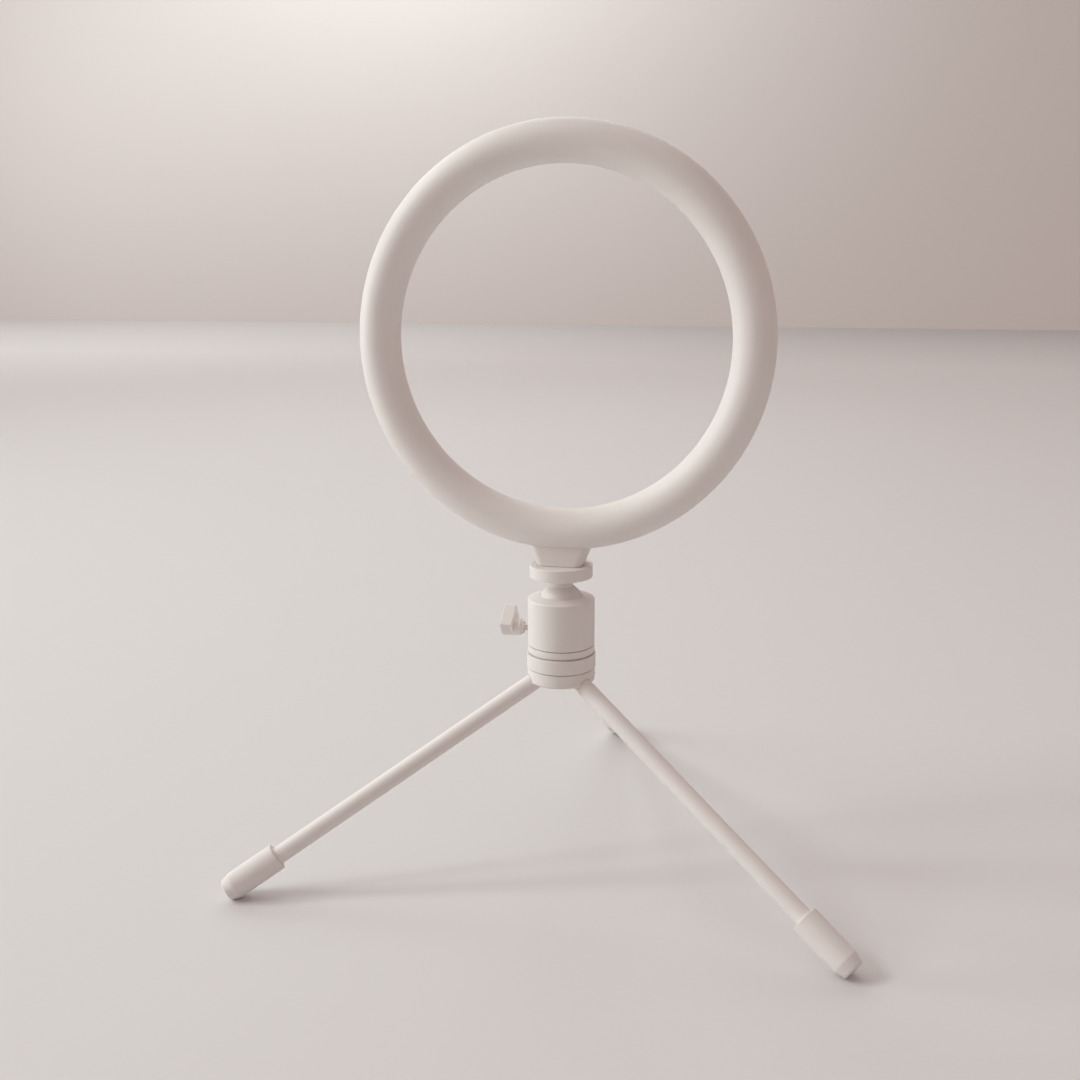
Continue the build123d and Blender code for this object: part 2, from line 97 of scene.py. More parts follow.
class RingLightSizes(bpy.types.PropertyGroup):
    """Sizes of the finished surfaces."""

    diffuser_seam: bpy.props.FloatProperty(
        name="Outer seam", description="Angle round the tube from its front to the outer seam",
        default=math.radians(97.5), subtype="ANGLE")
    diffuser_inner_seam: bpy.props.FloatProperty(
        name="Inner seam", description="Angle round the tube from its front to the inner seam",
        default=math.radians(119.5), subtype="ANGLE")
    diffuser_wall: bpy.props.FloatProperty(
        name="Diffuser wall", description="Thickness of the milky front shell",
        default=1.6 * MM, unit="LENGTH")
    rod_radius: bpy.props.FloatProperty(
        name="Rod radius", description="Outer radius of a leg's rod", default=4.28 * MM, unit="LENGTH")
    foot_radius: bpy.props.FloatProperty(
        name="Foot radius", description="Radius of a rubber foot", default=6.56 * MM, unit="LENGTH")
    foot_length: bpy.props.FloatProperty(
        name="Foot length", description="Length of a rubber foot", default=28.5 * MM, unit="LENGTH")
    foot_taper: bpy.props.FloatProperty(
        name="Foot taper", description="Length of a foot's tapered end", default=4.75 * MM, unit="LENGTH")
    foot_end_radius: bpy.props.FloatProperty(
        name="Foot end radius", description="Radius at the tip of a foot", default=5.1 * MM, unit="LENGTH")
    foot_rounding: bpy.props.FloatProperty(
        name="Foot rounding", description="Rounding of a foot's tip", default=0.9 * MM, unit="LENGTH")
    leg_length: bpy.props.FloatProperty(
        name="Leg length", description="From the hinge pin to the start of the foot tip's rounding",
        default=181.503 * MM, unit="LENGTH")
    leg_drop: bpy.props.FloatProperty(
        name="Leg slope", description="How far an open leg slopes below level",
        default=math.radians(30.2427), subtype="ANGLE")


class RingLightColours(bpy.types.PropertyGroup):
    """Base colours of the finishes."""

    diffuser: bpy.props.FloatVectorProperty(
        name="Diffuser", description="Milky front shell", default=(0.80, 0.765, 0.74), subtype="COLOR")
    plastic: bpy.props.FloatVectorProperty(
        name="Plastic", description="Moulded housing, neck and knob",
        default=(0.77, 0.735, 0.71), subtype="COLOR")
    coating: bpy.props.FloatVectorProperty(
        name="Powder coat", description="Ball head, collar and hub",
        default=(0.77, 0.735, 0.71), subtype="COLOR")
    rods: bpy.props.FloatVectorProperty(
        name="Rods", description="Painted leg rods", default=(0.77, 0.735, 0.71), subtype="COLOR")
    rubber: bpy.props.FloatVectorProperty(
        name="Rubber", description="Feet and pad", default=(0.75, 0.715, 0.69), subtype="COLOR")
    steel: bpy.props.FloatVectorProperty(
        name="Steel", description="Screws and pins", default=(0.62, 0.61, 0.60), subtype="COLOR")
    floor: bpy.props.FloatVectorProperty(
        name="Floor", description="Studio floor", default=(0.69, 0.678, 0.68), subtype="COLOR")
    wall: bpy.props.FloatVectorProperty(
        name="Wall", description="Studio back wall", default=(0.695, 0.675, 0.665), subtype="COLOR")


def sizes():
    """The sizes that a user can change."""
    return bpy.context.scene.ring_light_sizes


def colours():
    """The colours that a user can change."""
    return bpy.context.scene.ring_light_colours


# ---------------------------------------------------------------- shader maths


class Number:
    """A number that varies over a surface. Arithmetic on it adds Math nodes to its material."""

    def __init__(self, tree, socket):
        self.tree = tree
        self.socket = socket

    def maths(self, operation, *operands):
        """The result of one Math node on this and other numbers."""
        node = self.tree.nodes.new("ShaderNodeMath")
        node.operation = operation
        for slot, operand in zip(node.inputs, operands):
            plug(self.tree, slot, operand)
        return Number(self.tree, node.outputs[0])

    def __add__(self, other):
        return self.maths("ADD", self, other)

    def __radd__(self, other):
        return self.maths("ADD", other, self)

    def __sub__(self, other):
        return self.maths("SUBTRACT", self, other)

    def __rsub__(self, other):
        return self.maths("SUBTRACT", other, self)

    def __mul__(self, other):
        return self.maths("MULTIPLY", self, other)

    def __rmul__(self, other):
        return self.maths("MULTIPLY", other, self)

    def __truediv__(self, other):
        return self.maths("DIVIDE", self, other)

    def __rtruediv__(self, other):
        return self.maths("DIVIDE", other, self)

    def clamped(self):
        """The same number, kept between 0 and 1."""
        return self.maths("MINIMUM", self.maths("MAXIMUM", self, 0.0), 1.0)


def plug(tree, slot, value):
    """Links a value into a socket, or sets the socket to it."""
    if isinstance(value, Number):
        tree.links.new(value.socket, slot)
    elif isinstance(value, bpy.types.NodeSocket):
        tree.links.new(value, slot)
    elif isinstance(value, (tuple, list)) and len(value) == 3 and slot.type == "RGBA":
        slot.default_value = (*value, 1.0)
    else:
        slot.default_value = value


class Finish:
    """A material under construction, built round one Principled shader."""

    def __init__(self, name):
        self.material = bpy.data.materials.new(name)
        self.material.use_nodes = True
        self.tree = self.material.node_tree
        self.shader = self.tree.nodes["Principled BSDF"]
        self.position = self.node("ShaderNodeTexCoord").outputs["Object"]

    def node(self, kind, settings=None, **values):
        """Adds a node of any type: its settings first, then the values or links of its sockets."""
        made = self.tree.nodes.new(kind)
        for key, value in (settings or {}).items():
            setattr(made, key, value)
        for key, value in values.items():
            plug(self.tree, made.inputs[key.replace("_", " ")], value)
        return made

    def noise(self, grain, detail=2.0, roughness=0.5):
        """Cloudy noise from 0 to 1 whose blotches are about one grain across."""
        made = self.node("ShaderNodeTexNoise", Vector=self.position, Scale=1.0 / grain, Detail=detail,
                         Roughness=roughness)
        return Number(self.tree, made.outputs["Fac"])

    def cells(self, grain):
        """Distance to the nearest of many scattered points, for orange peel and speckle."""
        made = self.node("ShaderNodeTexVoronoi", {"feature": "SMOOTH_F1"}, Vector=self.position,
                         Scale=1.0 / grain)
        return Number(self.tree, made.outputs["Distance"])

    def edge_wear_and_highlight(self):
        """The piece's own mask of handled, rounded edges, 1 on a rounded edge and 0 on flats, used for wear
        and for a painted edge highlight.
        """
        return Number(self.tree, self.node("ShaderNodeAttribute", {"attribute_name": "edge"}).outputs["Fac"])

    def height(self):
        """Height above the floor, in metres."""
        parts = self.node("ShaderNodeSeparateXYZ", Vector=self.position)
        return Number(self.tree, parts.outputs["Z"])

    def ahead(self, turn):
        """Distance along a level heading turned from +Y, in metres."""
        heading = (-math.sin(math.radians(turn)), math.cos(math.radians(turn)), 0.0)
        made = self.node("ShaderNodeVectorMath", {"operation": "DOT_PRODUCT"})
        plug(self.tree, made.inputs[0], self.position)
        plug(self.tree, made.inputs[1], heading)
        return Number(self.tree, made.outputs["Value"])

    def blend(self, factor, first, second):
        """A colour between two others."""
        made = self.node("ShaderNodeMix", {"data_type": "RGBA"})
        plug(self.tree, made.inputs[0], factor)
        plug(self.tree, made.inputs[6], first)
        plug(self.tree, made.inputs[7], second)
        return made.outputs[2]

    def relief(self, height, depth, strength=1.0, under=None):
        """A bump from a height that runs from 0 to 1, with its real depth in metres."""
        made = self.node("ShaderNodeBump", Strength=strength, Distance=depth, Height=height)
        if under is not None:
            self.tree.links.new(under, made.inputs["Normal"])
        return made.outputs["Normal"]

    def set(self, **values):
        """Sets or links sockets of the shader."""
        for key, value in values.items():
            plug(self.tree, self.shader.inputs[key.replace("_", " ")], value)
        return self


def shade(colour, factor):
    """A colour made lighter or darker by a factor."""
    return tuple(min(1.0, part * factor) for part in colour)


# ---------------------------------------------------------------- finishes


def opal_acrylic():
    """Milky satin acrylic: light gets into it, with a faint cloudiness and a very fine surface."""
    made = Finish("opal_acrylic")
    base = colours().diffuser
    cloud = made.noise(45 * MM, 2.0)
    fine = made.noise(0.5 * MM, 2.0)
    colour = made.blend(cloud, shade(base, 0.985), shade(base, 1.015))
    made.set(Base_Color=colour, Roughness=0.46 + 0.08 * fine, IOR=1.49, Subsurface_Weight=0.12,
             Subsurface_Radius=(1.0, 0.9, 0.8), Subsurface_Scale=1.5 * MM,
             Normal=made.relief(fine, 0.01 * MM, 0.5))
    return made.material


def moulded_plastic():
    """Matte plastic from a spark-textured mould, a little polished where it is handled, with a painted
    highlight that lightens its rounded edges.
    """
    made = Finish("moulded_plastic")
    base = colours().plastic
    cloud = made.noise(30 * MM, 2.0)
    texture = made.noise(0.28 * MM, 3.0, 0.6)
    edge_wear_and_highlight = made.edge_wear_and_highlight()
    colour = made.blend(cloud, shade(base, 0.98), shade(base, 1.01))
    # painted highlight: rounded edges made lighter in colour; the lower roughness there is handling wear
    colour = made.blend(edge_wear_and_highlight * 0.35, colour, shade(base, 1.05))
    made.set(Base_Color=colour, Roughness=0.6 + 0.1 * texture - 0.14 * edge_wear_and_highlight, IOR=1.5,
             Normal=made.relief(texture, 0.022 * MM, 0.6))
    return made.material


def powder_coat():
    """Baked powder coat: orange peel with a finer grain on it, rubbed smoother along edges, where a painted
    highlight also lightens it.
    """
    made = Finish("powder_coat")
    base = colours().coating
    cloud = made.noise(18 * MM, 2.0)
    peel = made.cells(0.9 * MM)
    grain = made.noise(0.2 * MM, 2.0)
    edge_wear_and_highlight = made.edge_wear_and_highlight()
    colour = made.blend(cloud, shade(base, 0.98), shade(base, 1.01))
    # painted highlight: rounded edges made lighter in colour; the lower roughness there is handling wear
    colour = made.blend(edge_wear_and_highlight * 0.4, colour, shade(base, 1.07))
    normal = made.relief(grain, 0.012 * MM, 0.5, made.relief(peel, 0.03 * MM, 0.45))
    made.set(Base_Color=colour, Roughness=0.54 + 0.12 * grain - 0.12 * edge_wear_and_highlight, IOR=1.5, Normal=normal)
    return made.material


def rod_paint():
    """Smooth matte paint over drawn tube, with faint scuffs."""
    made = Finish("rod_paint")
    base = colours().rods
    cloud = made.noise(22 * MM, 3.0)
    fine = made.noise(0.35 * MM, 2.0)
    scuff = (made.noise(3.0 * MM, 6.0, 0.7) * 5.0 - 3.1).clamped()
    colour = made.blend(cloud, shade(base, 0.98), shade(base, 1.015))
    colour = made.blend(scuff * 0.25, colour, shade(base, 0.93))
    made.set(Base_Color=colour, Roughness=0.5 + 0.08 * fine + 0.1 * scuff, IOR=1.5,
             Normal=made.relief(fine, 0.012 * MM, 0.4))
    return made.material


def soft_rubber():
    """Soft matte rubber with a fine grain, darker in blotches where it meets the floor."""
    made = Finish("soft_rubber")
    base = colours().rubber
    cloud = made.noise(9 * MM, 3.0)
    grain = made.noise(0.22 * MM, 3.0, 0.65)
    # darker in blotches within 7 mm of the floor
    darker_near_floor = (1 - made.height() / (7 * MM)).clamped() * made.noise(1.6 * MM, 4.0)
    colour = made.blend(cloud, shade(base, 0.975), shade(base, 1.01))
    colour = made.blend(darker_near_floor * 0.35, colour, (0.42, 0.38, 0.35))
    made.set(Base_Color=colour, Roughness=0.72 + 0.12 * grain, IOR=1.52,
             Sheen_Weight=0.06, Sheen_Roughness=0.6,
             Normal=made.relief(grain, 0.03 * MM, 0.6))
    return made.material


def plated_steel():
    """Zinc-plated steel with a fine crystal mottling."""
    made = Finish("plated_steel")
    base = colours().steel
    cloud = made.noise(1.2 * MM, 4.0, 0.6)
    fine = made.noise(0.1 * MM, 2.0)
    colour = made.blend(cloud, shade(base, 0.9), shade(base, 1.08))
    made.set(Base_Color=colour, Metallic=1.0, Roughness=0.28 + 0.16 * cloud,
             Normal=made.relief(fine, 0.004 * MM, 0.4))
    return made.material


def knurled_brass():
    """Dull brass with uneven tarnish."""
    made = Finish("knurled_brass")
    cloud = made.noise(1.5 * MM, 4.0, 0.6)
    colour = made.blend(cloud, (0.55, 0.40, 0.20), (0.74, 0.58, 0.33))
    made.set(Base_Color=colour, Metallic=1.0, Roughness=0.3 + 0.2 * cloud)
    return made.material


def natural_nylon():
    """Waxy unfilled nylon."""
    made = Finish("natural_nylon")
    cloud = made.noise(3 * MM, 3.0)
    colour = made.blend(cloud, (0.74, 0.72, 0.68), (0.80, 0.785, 0.75))
    made.set(Base_Color=colour, Roughness=0.42 + 0.1 * cloud, Subsurface_Weight=0.15,
             Subsurface_Scale=1.0 * MM)
    return made.material


def solder_mask():
    """White circuit board: copper tracks show as slightly darker, raised bands."""
    made = Finish("solder_mask")
    wave = made.node("ShaderNodeTexWave", {"wave_type": "RINGS", "rings_direction": "Y"},
                     Vector=made.position, Scale=120.0, Distortion=0.4, Detail=1.0)
    track = (Number(made.tree, wave.outputs["Fac"]) * 6.0 - 4.6).clamped()
    colour = made.blend(track * 0.5, (0.78, 0.78, 0.75), (0.70, 0.72, 0.66))
    made.set(Base_Color=colour, Roughness=0.35 + 0.1 * track, Normal=made.relief(track, 0.03 * MM, 0.5))
    return made.material


def phosphor():
    """Yellow phosphor gel of a light chip."""
    made = Finish("phosphor")
    cloud = made.noise(0.8 * MM, 3.0)
    colour = made.blend(cloud, (0.84, 0.66, 0.16), (0.93, 0.80, 0.33))
    made.set(Base_Color=colour, Roughness=0.25 + 0.1 * cloud, Coat_Weight=0.6)
    return made.material


def chip_package():
    """Black moulded chip package with a fine sparkle in its roughness."""
    made = Finish("chip_package")
    grain = made.noise(0.15 * MM, 2.0)
    colour = made.blend(grain, (0.018, 0.018, 0.02), (0.035, 0.035, 0.037))
    made.set(Base_Color=colour, Roughness=0.5 + 0.2 * grain, Normal=made.relief(grain, 0.01 * MM, 0.5))
    return made.material


def seamless_paper(name, colour, painted_shade_from=None):
    """Matte studio paper with a very faint unevenness; a sheet given painted_shade_from gets painted shade
    that darkens it towards its far edge, standing in for the shade where the floor runs into the wall.
    """
    made = Finish(name)
    cloud = made.noise(0.6, 2.0)
    grain = made.noise(0.9 * MM, 2.0)
    tone = made.blend(cloud, shade(colour, 0.992), shade(colour, 1.008))
    if painted_shade_from is not None:
        # painted shade: the floor's colour darkens to FAR_SHADE of its tone towards its far edge, for the
        # shade near the wall
        far = (made.ahead(STAGE_TURN) - painted_shade_from) / (FLOOR_FAR - painted_shade_from)
        tone = made.blend(far.clamped(), tone, shade(colour, FAR_SHADE))
    made.set(Base_Color=tone, Roughness=0.62, Specular_IOR_Level=0.35,
             Normal=made.relief(grain, 0.05 * MM, 0.25))
    return made.material


MATERIALS = {}


def finish(recipe):
    """The material a recipe makes, made once."""
    if recipe not in MATERIALS:
        MATERIALS[recipe] = recipe()
    return MATERIALS[recipe]


# ---------------------------------------------------------------- surfaces

CREASE = math.radians(32)
MERGE_DISTANCE = 0.002 * MM
LARGEST_ROUNDING = 0.49  # share of the shorter run that meets a corner
GUARD_OF_ROUNDING, GUARD_OF_RUN = 0.4, 0.25  # how far the points beside an arc stand off, at most


def put_in_scene(name, data):
    """A new object, at the origin, for a mesh, light or camera."""
    made = bpy.data.objects.new(name, data)
    bpy.context.scene.collection.objects.link(made)
    return made


def across(axis):
    """Two unit vectors at right angles to an axis and to each other."""
    helper = UP if abs(axis[2]) < 0.9 else np.array([1.0, 0.0, 0.0])
    first = np.cross(helper, axis)
    first /= np.linalg.norm(first)
    return first, np.cross(axis, first)


def enclosed(points, faces):
    """Signed volume of a closed mesh: a sum over fans of a third of base times height."""
    total = 0.0
    for face in faces:
        if len(face):
            ring = points[np.asarray(face)]
            for step in range(1, ring.shape[1] - 1):
                total += np.einsum("ij,ij->", ring[:, 0], np.cross(ring[:, step], ring[:, step + 1])) / 6
    return total


def make_mesh(name, points, quads, triangles=(), edge=None):
    """Puts points and faces into a mesh object, with its faces turned outwards and smooth between creases."""
    quads = np.asarray(quads, int).reshape(-1, 4)
    triangles = np.asarray(triangles, int).reshape(-1, 3)
    if enclosed(points, [quads, triangles]) < 0:
        quads, triangles = quads[:, ::-1], triangles[:, ::-1]
    mesh = bpy.data.meshes.new(name)
    mesh.from_pydata(points.tolist(), [], quads.tolist() + triangles.tolist())
    mask = mesh.attributes.new("edge", "FLOAT", "POINT")
    mask.data.foreach_set("value", np.zeros(len(points)) if edge is None else np.asarray(edge, float))
    mesh.shade_smooth()
    mesh.set_sharp_from_angle(angle=CREASE)
    mesh.update()
    return put_in_scene(name, mesh)


def grid_faces(rows, columns, joins_rows=False, joins_columns=False):
    """Four-cornered faces of a grid of points, by rows; a joined direction runs back to its start."""
    row = np.arange(rows if joins_rows else rows - 1)[:, None]
    column = np.arange(columns if joins_columns else columns - 1)[None]
    ahead, beyond = (row + 1) % rows, (column + 1) % columns
    return np.stack([row * columns + column, row * columns + beyond, ahead * columns + beyond,
                     ahead * columns + column], axis=-1).reshape(-1, 4)


def end_caps(rows, columns):
    """Triangles from a tube's first and last row of points to the two points that follow its grid."""
    tip = rows * columns
    loop = np.arange(columns)
    after = (loop + 1) % columns
    last = tip - columns
    return np.concatenate([np.stack([np.full(columns, tip), after, loop], axis=1),
                           np.stack([np.full(columns, tip + 1), last + loop, last + after], axis=1)])


def rounded(corners, closed=False, steps=7):
    """A profile from corners (radius, height, rounding).

    Each corner is replaced by the arc that touches both of its runs: its centre lies on the
    corner's bisector at rounding / sin(half angle), and the arc is stepped evenly in angle.
    A point just outside each end of the arc keeps the flats flat. Returns the points and a
    mask that is 1 in the middle of each arc.
    """
    points, mask = [], []
    count = len(corners)
    for index, (x, y, radius) in enumerate(corners):
        corner = np.array([x, y], float)
        if radius <= 0 or (not closed and index in (0, count - 1)):
            points.append(corner[None])
            mask.append(np.zeros(1))
            continue
        back = np.array(corners[index - 1][:2], float) - corner
        ahead = np.array(corners[(index + 1) % count][:2], float) - corner
        room = min(np.linalg.norm(back), np.linalg.norm(ahead))
        back /= np.linalg.norm(back)
        ahead /= np.linalg.norm(ahead)
        half = math.acos(np.clip(back @ ahead, -1, 1)) / 2
        radius = min(radius, LARGEST_ROUNDING * room * math.tan(half))
        touch = radius / math.tan(half)
        bisector = (back + ahead) / np.linalg.norm(back + ahead)
        centre = corner + bisector * radius / math.sin(half)
        first, last = corner + back * touch - centre, corner + ahead * touch - centre
        start = math.atan2(first[1], first[0])
        turn = (math.atan2(last[1], last[0]) - start + math.pi) % (2 * math.pi) - math.pi
        angle = start + turn * np.linspace(0, 1, steps)
        bend = centre + radius * np.stack([np.cos(angle), np.sin(angle)], axis=1)
        spare = min(GUARD_OF_ROUNDING * radius, GUARD_OF_RUN * (room - touch))
        points.append(np.concatenate([[bend[0] + back * spare], bend, [bend[-1] + ahead * spare]]))
        mask.append(np.concatenate([[0], np.sin(np.linspace(0, np.pi, steps)), [0]]))
    return np.concatenate(points), np.concatenate(mask)


def lathe(name, profile, mask, centre, axis, closed=False, around=128):
    """A surface of revolution: centre + height * axis + radius * (cos a * first + sin a * second).

    The profile gives radius and height. An open profile starts and ends on the axis, where one
    point closes it; a closed profile joins its last point to its first.
    """
    axis = np.asarray(axis, float)
    first, second = across(axis)
    angle = np.linspace(0, 2 * np.pi, around, endpoint=False)
    spoke = np.cos(angle)[:, None] * first + np.sin(angle)[:, None] * second
    radius, height = profile[:, 0], profile[:, 1]
    if not closed:
        radius, height, mask = radius[1:-1], height[1:-1], mask[1:-1]
    rows = len(radius)
    grid = centre + height[:, None, None] * axis + radius[:, None, None] * spoke
    points = grid.reshape(-1, 3)
    triangles = []
    edge = np.repeat(mask, around)
    if not closed:
        tips = np.array([centre + profile[0, 1] * axis, centre + profile[-1, 1] * axis])
        points = np.concatenate([points, tips])
        edge = np.concatenate([edge, [0, 0]])
        triangles = end_caps(rows, around)
    return make_mesh(name, points, grid_faces(rows, around, closed, True), triangles, edge)


def arc(centre, radius, start, end, steps):
    """Points on a circle, centre + radius * (sin a, cos a), stepped evenly between two angles."""
    angle = np.linspace(start, end, steps)
    return np.stack([centre[0] + radius * np.sin(angle), centre[1] + radius * np.cos(angle)], axis=1)


def merged_copy(node, name):
    """A copy of a frame node with its loose triangles merged, smooth between creases."""
    mesh = frame["nodes"][node].data.copy()
    mesh.name = name
    work = bmesh.new()
    work.from_mesh(mesh)
    bmesh.ops.remove_doubles(work, verts=work.verts, dist=MERGE_DISTANCE)
    work.to_mesh(mesh)
    work.free()
    mesh.shade_smooth()
    mesh.set_sharp_from_angle(angle=CREASE)
    made = put_in_scene(name, mesh)
    weighting = made.modifiers.new("even_shading", "WEIGHTED_NORMAL")
    weighting.keep_sharp = True
    return made


def fit_out(piece, material, node, body):
    """Gives a piece its material, hides the node it stands for and hangs it on what it moves with."""
    piece.data.materials.clear()
    piece.data.materials.append(material)
    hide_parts(node)
    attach(piece, body)
    return piece


def refinish(node, material):
    """Gives a frame node that stays a better material."""
    slots = frame["nodes"][node].material_slots
    for entry in slots:
        entry.link = "OBJECT"
        entry.material = material
    if not slots:
        frame["nodes"][node].data.materials.append(material)


# ---------------------------------------------------------------- lamp


def diffuser():
    """The milky front shell: the tube's section from the inner seam round the front to the outer seam."""
    wall = sizes().diffuser_wall
    start, end = -sizes().diffuser_inner_seam, sizes().diffuser_seam
    centre = (RING_RADIUS - TUBE_RADIUS, 0.0)
    lip = 0.3 * MM
    ease = lip / TUBE_RADIUS
    outer = arc(centre, TUBE_RADIUS, start + ease, end - ease, 72)
    inner = arc(centre, TUBE_RADIUS - wall, end - ease, start + ease, 48)
    middle_radius, edge_radius = TUBE_RADIUS - wall / 2, TUBE_RADIUS - 0.1 * MM
    far_lip = arc(centre, middle_radius, end, end, 1)
    near_lip = arc(centre, middle_radius, start, start, 1)
    far_edge = arc(centre, edge_radius, end - 0.3 * ease, end - 0.3 * ease, 1)
    near_edge = arc(centre, edge_radius, start + 0.3 * ease, start + 0.3 * ease, 1)
    profile = np.concatenate([outer, far_edge, far_lip, inner, near_lip, near_edge])
    piece = lathe("diffuser", profile, np.zeros(len(profile)), RING_CENTRE, RING_FACING, closed=True,
                  around=288)
    return fit_out(piece, finish(opal_acrylic), "diffuser_ring", "lamp")


NECK_HALF_SIZES = np.array([[11.0, 7.5], [15.8, 4.85]]) * MM  # at its foot and at its full height
NECK_FULL_HEIGHT = 11.05 * MM
NECK_CORNER = 4.0 * MM
CUT_PASSES = 12


def neck():
    """The tapered block: a rounded rectangle that changes evenly with height, cut off by the tube.

    A point is bottom outline + level * share * (top outline - bottom outline). The share is where the
    line from bottom to top meets the tube, and is found by going back and forth a few times.
    """
    low = span("neck_block", 2)[0]
    steps, rows = 10, 24
    quarter = np.linspace(0, np.pi / 2, steps)
    angle = np.concatenate([quarter + turn * np.pi / 2 for turn in range(4)])
    signs = np.repeat(np.array([[1, 1], [-1, 1], [-1, -1], [1, -1]]), steps, axis=0)
    round_off = NECK_CORNER * np.stack([np.cos(angle), np.sin(angle)], axis=1)
    bottom = signs * (NECK_HALF_SIZES[0] - NECK_CORNER) + round_off
    top = signs * (NECK_HALF_SIZES[1] - NECK_CORNER) + round_off
    reach = RING_RADIUS - TUBE_RADIUS
    share = np.full(len(angle), 0.8)
    for _ in range(CUT_PASSES):
        outline = bottom + share[:, None] * (top - bottom)
        drop = np.sqrt(np.maximum(TUBE_RADIUS**2 - outline[:, 1] ** 2, 0.0))
        under = RING_CENTRE[2] - np.sqrt((reach + drop) ** 2 - outline[:, 0] ** 2)
        share = (under - low) / NECK_FULL_HEIGHT
    level = np.concatenate([[0.0, 0.02], np.linspace(0.05, 1.0, rows)])
    inset = np.concatenate([[0.35 * MM, 0.1 * MM], np.zeros(rows)])
    level = level[:, None] * share[None]
    outline = bottom[None] + level[..., None] * (top - bottom)[None]
    length = np.linalg.norm(outline, axis=-1, keepdims=True)
    outline = outline * (1 - inset[:, None, None] / length)
    height = low + level * NECK_FULL_HEIGHT
    grid = np.concatenate([outline + STAND_AXIS[:2], height[..., None]], axis=-1)
    around = len(angle)
    ends = np.array([grid[0].mean(axis=0), grid[-1].mean(axis=0)])
    points = np.concatenate([grid.reshape(-1, 3), ends])
    edge = np.zeros(len(points))
    edge[:2 * around] = 0.6
    quads = grid_faces(len(grid), around, joins_columns=True)
    piece = make_mesh("neck", points, quads, end_caps(len(grid), around), edge)
    return fit_out(piece, finish(moulded_plastic), "neck_block", "lamp")


class RINGLIGHT_OT_lamp(bpy.types.Operator):
    """Builds the ring's shells, the neck and the finishes of what is inside them"""

    bl_idname = "ring_light.lamp"
    bl_label = "Lamp"

    def execute(self, context):
        diffuser()
        housing = merged_copy("rear_housing", "housing")
        fit_out(housing, finish(moulded_plastic), "rear_housing", "lamp")
        neck()
        refinish("led_board", finish(solder_mask))
        refinish("led_chips", finish(phosphor))
        refinish("driver_chips", finish(chip_package))
        for node in ("power_socket", "board_screws", "neck_screws"):
            refinish(node, finish(plated_steel))
        refinish("threaded_insert", finish(knurled_brass))
        return {"FINISHED"}


# ---------------------------------------------------------------- ball head


def turned_piece(name, corners, node, material, body, closed=False, around=128):
    """A turned piece about the stand's axis, its corners in millimetres."""
    scaled = [(radius * MM, height * MM, rounding * MM) for radius, height, rounding in corners]
    profile, mask = rounded(scaled, closed)
    piece = lathe(name, profile, mask, STAND_AXIS, UP, closed, around)
    return fit_out(piece, material, node, body)


def heights(node):
    """Lowest and highest height of a node, in millimetres."""
    low, high = span(node, 2)
    return low / MM, high / MM


def radius_of(node):
    """Radius of a round node, in millimetres."""
    low, high = span(node, 0)
    return (high - low) / 2 / MM


def mounting_plate():
    """The disc under the neck, with a shallow seat for its rubber pad."""
    low, high = heights("top_plate")
    radius, pad = radius_of("top_plate"), radius_of("plate_pad") + 0.05
    corners = [(0, low, 0), (radius, low, 0.5), (radius, high, 0.5), (pad, high, 0.12), (pad, high - 1, 0.0),
               (0, high - 1, 0)]
    turned_piece("mounting_plate", corners, "top_plate", finish(powder_coat), "ball_mount")
    low, high = heights("plate_pad")
    radius = radius_of("plate_pad")
    corners = [(0, low, 0), (radius, low, 0.1), (radius, high, 0.2), (0, high, 0)]
    turned_piece("rubber_pad", corners, "plate_pad", finish(soft_rubber), "ball_mount")


STEM_RADIUS = 5.7
STEM_FOOT_RADIUS = STEM_RADIUS + 0.3
SEAT_CLEARANCE = 0.1
MOUTH_RADIUS = 10.42
MOUTH_LIP_RADIUS = 10.62
SHOULDER_DROP = 1.4
SOCKET_BORE_RADIUS = 15.4
BASE_SHELF_HEIGHT = 3.37
BASE_GROOVE = (15.0, 12.95, 0.35)  # its two radii and its depth


def ball_and_stem():
    """The ball, running into its stem through a small hollow.

    The hollow is a quadratic Bezier curve from the ball's edge to the stem's foot, bent towards a
    third point just outside the stem.
    """
    ball = radius_of("ball")
    centre = heights("ball")[0] + ball
    sphere = arc((0.0, centre), ball, math.pi, math.asin(STEM_FOOT_RADIUS / ball), 60)
    start = sphere[-1]
    turn = np.linspace(0, 1, 6)[1:, None]
    foot_of_stem = np.array([STEM_RADIUS, start[1] + 0.45])
    pull = np.array([STEM_RADIUS + 0.02, start[1] + 0.18])
    hollow = (1 - turn) ** 2 * start + 2 * turn * (1 - turn) * pull + turn**2 * foot_of_stem
    top = heights("top_plate")[0] + 0.2
    stem_run = np.array([[STEM_RADIUS, top - 0.3], [STEM_RADIUS, top], [0.0, top]])
    profile = np.concatenate([sphere, hollow, stem_run]) * MM
    piece = lathe("ball_and_stem", profile, np.zeros(len(profile)), STAND_AXIS, UP)
    fit_out(piece, finish(powder_coat), "ball", "ball_mount")


